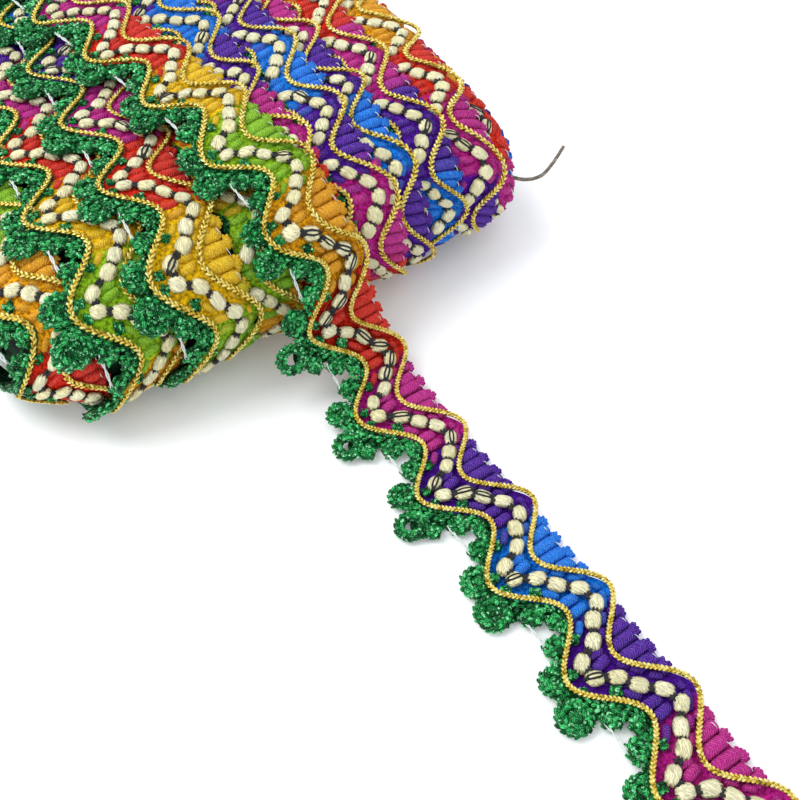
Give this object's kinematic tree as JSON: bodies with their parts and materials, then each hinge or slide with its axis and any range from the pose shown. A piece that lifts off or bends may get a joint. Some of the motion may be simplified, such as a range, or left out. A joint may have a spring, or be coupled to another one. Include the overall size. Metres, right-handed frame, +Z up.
{
  "type": "roll of sequin trim",
  "caption": "Flat-wound roll of scalloped lace trim with a gathered sequin ribbon between gold cords, its loose end drawn out flat.",
  "frame": {"origin": "middle of the whole part's footprint, on the surface that it rests on", "axes": "+Z up; +X along the winding axis, towards the side where the tie wire's end shows; the turns and the loose end run along Y, and the loose end leaves towards -Y"},
  "size_m": [0.1374, 0.3176, 0.0401],
  "materials": {
    "wound_trim": "dark inner layers of the wound lace, seen in the gaps between turns",
    "green_metallic_yarn": "crochet of green metallic yarn with fine glints",
    "dyed_chenille": "matt ribbed chenille, dyed in a rainbow of one colour for each repeat",
    "gold_cord": "twisted metallic gold cord with bright glints",
    "lame_ribbon": "pale gold lamé ribbon gathered into flat puffs, satin",
    "tie_wire": "dull brown-grey coated wire"
  },
  "bodies": {
    "root": {"wound_roll": "wound_trim", "loose_green_lace": "green_metallic_yarn", "loose_colour_lace": "dyed_chenille", "loose_lower_cord": "gold_cord", "loose_upper_cord": "gold_cord", "loose_sequin_row": "lame_ribbon", "tie_wire_end": "tie_wire"}
  },
  "joints": []
}
